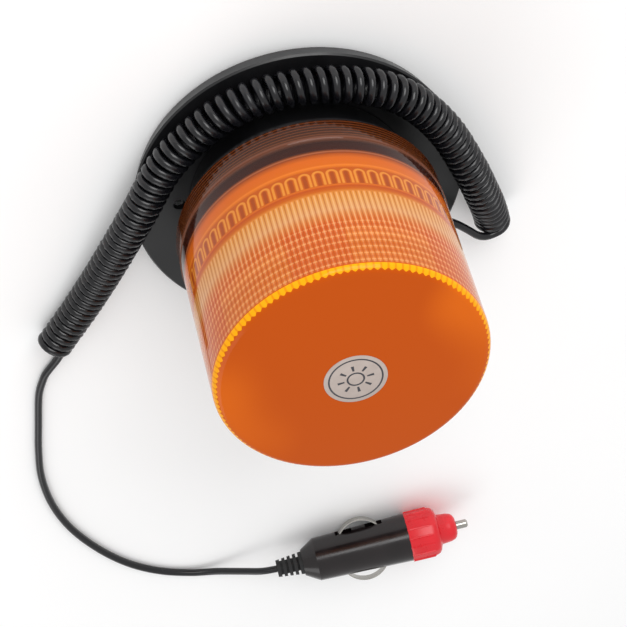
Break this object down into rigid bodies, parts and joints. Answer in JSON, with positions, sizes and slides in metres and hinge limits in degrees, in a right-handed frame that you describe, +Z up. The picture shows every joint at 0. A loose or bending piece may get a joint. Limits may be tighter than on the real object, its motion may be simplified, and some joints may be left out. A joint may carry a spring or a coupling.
{
  "type": "led beacon light",
  "caption": "Amber dome beacon light on a round magnetic flange, with an unscrewing fluted lens, a curly cord and a sprung accessory-socket plug.",
  "frame": {"origin": "centre of the magnet's rubber face, on the surface that the beacon stands on", "axes": "+Z up along the beacon's axis, from the magnet to the flat cap; -Y faces the side that the coil passes"},
  "size_m": [0.2068, 0.2778, 0.1003],
  "materials": {
    "black_abs": "moulded black ABS, satin",
    "black_rubber": "moulded black rubber",
    "plated_steel": "zinc plated steel",
    "ferrite": "sintered ferrite",
    "cord_pvc": "glossy black PVC jacket",
    "terminal_plastic": "green moulded terminal",
    "green_board": "solder masked glass fibre board",
    "capacitor_sleeve": "blue sleeved aluminium can",
    "copper_coil": "enamelled copper winding on a core",
    "chip_epoxy": "moulded epoxy package",
    "wire_red": "insulated wires",
    "white_abs": "moulded white ABS",
    "white_board": "white solder masked board",
    "diode": "diode package with yellow gel",
    "amber_lens": "clear amber polycarbonate, fluted inside",
    "label_paper": "silver grey coated paper label",
    "red_abs": "moulded red ABS",
    "plug_black": "moulded black phenolic, glossy",
    "nickel": "nickel plated brass",
    "fuse_glass": "clear glass tube"
  },
  "bodies": {
    "base": {"rubber_pad": "black_rubber", "magnet_cup": "plated_steel", "ring_magnet": "ferrite", "magnet_bolt": "plated_steel", "magnet_washer": "plated_steel", "magnet_nut": "plated_steel", "base_flange": "black_abs", "base_screws": "plated_steel", "base_gasket": "black_rubber", "base_housing": "black_abs", "cable_grommet": "black_rubber", "inner_cable": "cord_pvc", "wire_terminal": "terminal_plastic", "driver_board": "green_board", "board_screws": "plated_steel", "capacitors": "capacitor_sleeve", "inductor": "copper_coil", "controller_chip": "chip_epoxy", "power_transistors": "chip_epoxy", "lamp_wires": "wire_red", "lamp_deck": "white_abs", "lamp_tower": "white_abs", "tower_screws": "plated_steel", "side_boards": "white_board", "side_leds": "diode", "top_board": "white_board", "top_board_screws": "plated_steel", "top_leds": "diode", "cord_tail": "cord_pvc", "cord_coil": "cord_pvc", "cord_lead": "cord_pvc", "plug_relief": "black_rubber", "plug_barrel": "plug_black", "fuse_spring": "plated_steel"},
    "seal_ring": {"lens_seal": "black_rubber"},
    "lens": {"outer_lens": "amber_lens", "lens_label": "label_paper"},
    "pin_carrier": {"pin_retainer": "plated_steel"},
    "nose": {"nose_cap": "red_abs"},
    "pin_and_fuse": {"center_pin": "nickel", "fuse_glass": "fuse_glass", "fuse_caps": "nickel"},
    "left_contact": {"side_contact_left": "nickel"},
    "right_contact": {"side_contact_right": "nickel"}
  },
  "joints": [
    {"name": "lens_travel", "type": "slide", "parent": "base", "child": "seal_ring", "axis": [0, 0, 1], "range_m": [0, 0.0075]},
    {"name": "lens_turn", "type": "hinge", "parent": "seal_ring", "child": "lens", "pos_m": [0, 0, 0.0275], "axis": [0, 0, 1], "range_deg": [0, 900]},
    {"name": "nose_travel", "type": "slide", "parent": "base", "child": "pin_carrier", "axis": [-0.9969, 0.0785, 0], "range_m": [0, 0.006]},
    {"name": "nose_turn", "type": "hinge", "parent": "pin_carrier", "child": "nose", "pos_m": [-0.00212, 0.20613, 0.0109], "axis": [-0.9969, 0.0785, 0], "range_deg": [0, 1440]},
    {"name": "pin_press", "type": "slide", "parent": "pin_carrier", "child": "pin_and_fuse", "axis": [-0.9969, 0.0785, 0], "range_m": [-0.0035, 0], "stiffness_N_per_m": 600, "springref_m": 0.001},
    {"name": "left_contact_press", "type": "slide", "parent": "base", "child": "left_contact", "axis": [0.0643, 0.8166, 0.5736], "range_m": [-0.0025, 0], "stiffness_N_per_m": 900, "springref_m": 0.001},
    {"name": "right_contact_press", "type": "slide", "parent": "base", "child": "right_contact", "axis": [-0.0643, -0.8166, -0.5736], "range_m": [-0.0025, 0], "stiffness_N_per_m": 900, "springref_m": 0.001}
  ],
  "couplings": [
    {"joint": "lens_travel", "follows": "lens_turn", "m_per_rad": 0.00047746},
    {"joint": "nose_turn", "follows": "nose_travel", "rad_per_m": 4188.8}
  ]
}
